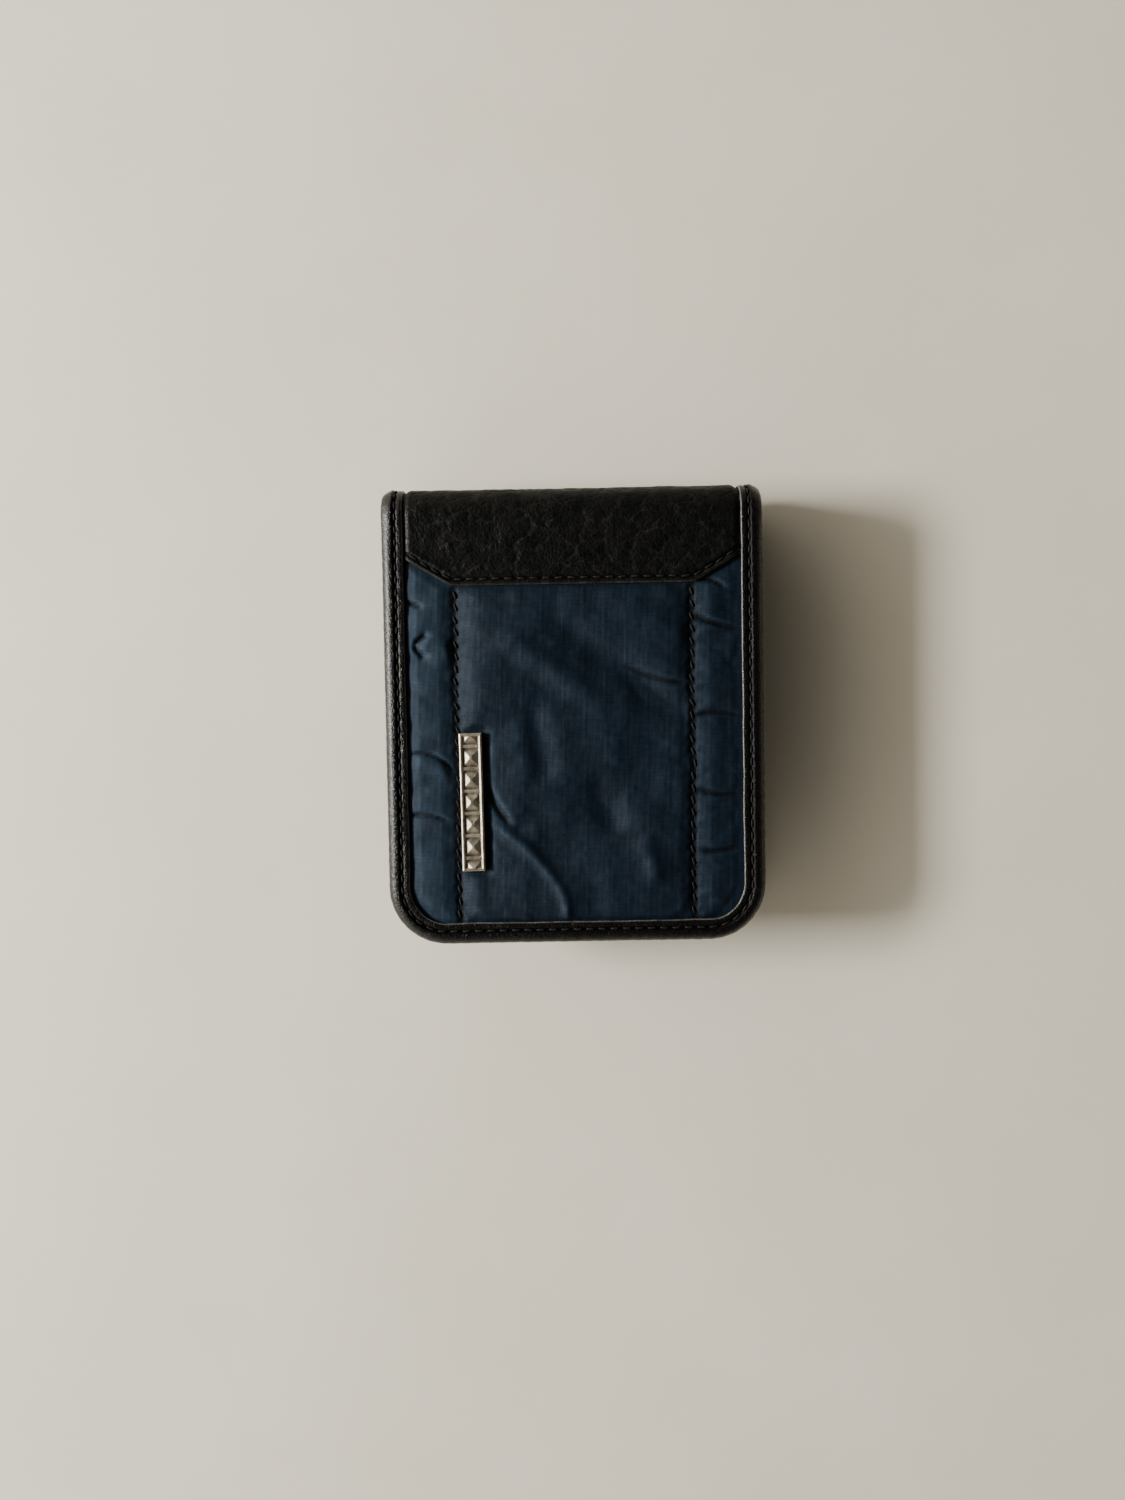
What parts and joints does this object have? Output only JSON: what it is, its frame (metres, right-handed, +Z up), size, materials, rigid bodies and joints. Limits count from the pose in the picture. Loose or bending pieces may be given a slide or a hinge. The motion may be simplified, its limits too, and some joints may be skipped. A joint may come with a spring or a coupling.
{
  "type": "folding wallet",
  "caption": "Folding wallet with padded nylon covers in black leather binding, a middle card leaf with a clear window and a snapped coin pocket, hinged at one leather spine.",
  "frame": {"origin": "middle of the closed wallet's footprint, on the surface it lies on", "axes": "+Y across the closed wallet towards the leather spine, +Z up through its thickness, front cover uppermost"},
  "size_m": [0.095, 0.115, 0.0253],
  "materials": {
    "nylon": "dark navy ripstop nylon with a soft silky sheen",
    "wadding": "thin pale polyester wadding",
    "lining_cloth": "matte black woven lining",
    "thread": "black polyester thread",
    "grained_leather": "black leather with a deep creased grain",
    "binding_leather": "smooth glossy black leather",
    "smooth_leather": "smooth black leather, low gloss",
    "badge_metal": "aged pewter, satin",
    "snap_metal": "gunmetal",
    "clear_window": "clear soft plastic film"
  },
  "bodies": {
    "back_cover": {"back_nylon_panel": "nylon", "back_wadding": "wadding", "back_yoke_leather": "grained_leather", "back_lining": "lining_cloth", "back_inner_panel": "lining_cloth", "back_binding": "binding_leather", "back_binding_thread": "thread", "back_yoke_thread": "thread", "back_seam_thread_left": "thread", "back_seam_thread_right": "thread", "coin_pocket_wall": "smooth_leather", "coin_pocket_fold": "smooth_leather", "coin_gusset_free_end": "lining_cloth", "coin_gusset_spine_end": "lining_cloth", "coin_flap_root": "smooth_leather", "snap_stud": "snap_metal", "snap_stud_rivet": "snap_metal"},
    "spine": {"spine_leather": "grained_leather", "spine_lining": "lining_cloth", "spine_inner_panel": "lining_cloth", "spine_binding_left": "binding_leather", "spine_binding_right": "binding_leather", "spine_thread_left": "thread", "spine_thread_right": "thread"},
    "front_cover": {"front_nylon_panel": "nylon", "front_wadding": "wadding", "front_yoke_leather": "grained_leather", "front_lining": "lining_cloth", "front_inner_panel": "lining_cloth", "front_binding": "binding_leather", "front_binding_thread": "thread", "front_yoke_thread": "thread", "front_seam_thread_left": "thread", "front_seam_thread_right": "thread", "badge_bar": "badge_metal", "badge_backing_plate": "snap_metal", "front_card_pocket_1": "smooth_leather", "front_card_pocket_2": "smooth_leather", "front_card_pocket_3": "smooth_leather", "front_card_pocket_4": "smooth_leather"},
    "middle_leaf": {"leaf_core": "lining_cloth", "leaf_edge_band": "binding_leather", "leaf_hinge_strip": "smooth_leather", "leaf_window_frame": "smooth_leather", "leaf_window_pane": "clear_window", "leaf_card_pocket_1": "smooth_leather", "leaf_card_pocket_2": "smooth_leather", "leaf_card_pocket_3": "smooth_leather"},
    "coin_flap": {"coin_flap": "smooth_leather", "coin_flap_lining": "lining_cloth", "snap_socket": "snap_metal", "snap_cap": "snap_metal"}
  },
  "joints": [
    {"name": "spine_fold", "type": "hinge", "parent": "back_cover", "child": "spine", "pos_m": [0, 0.056, 0.0015], "axis": [-1, 0, 0], "range_deg": [0, 90]},
    {"name": "cover_fold", "type": "hinge", "parent": "spine", "child": "front_cover", "pos_m": [0, 0.056, 0.02315], "axis": [-1, 0, 0], "range_deg": [0, 90]},
    {"name": "leaf_swing", "type": "hinge", "parent": "spine", "child": "middle_leaf", "pos_m": [0, 0.0529, 0.01605], "axis": [-1, 0, 0], "range_deg": [0, 50]},
    {"name": "coin_flap_swing", "type": "hinge", "parent": "back_cover", "child": "coin_flap", "pos_m": [0.0393, -0.0105, 0.0114], "axis": [0, 1, 0], "range_deg": [0, 135]}
  ],
  "couplings": [
    {"joint": "cover_fold", "follows": "spine_fold", "ratio": 1},
    {"joint": "leaf_swing", "follows": "spine_fold", "ratio": 0.55},
    {"joint": "coin_flap_swing", "follows": "spine_fold", "ratio": 1.5}
  ]
}
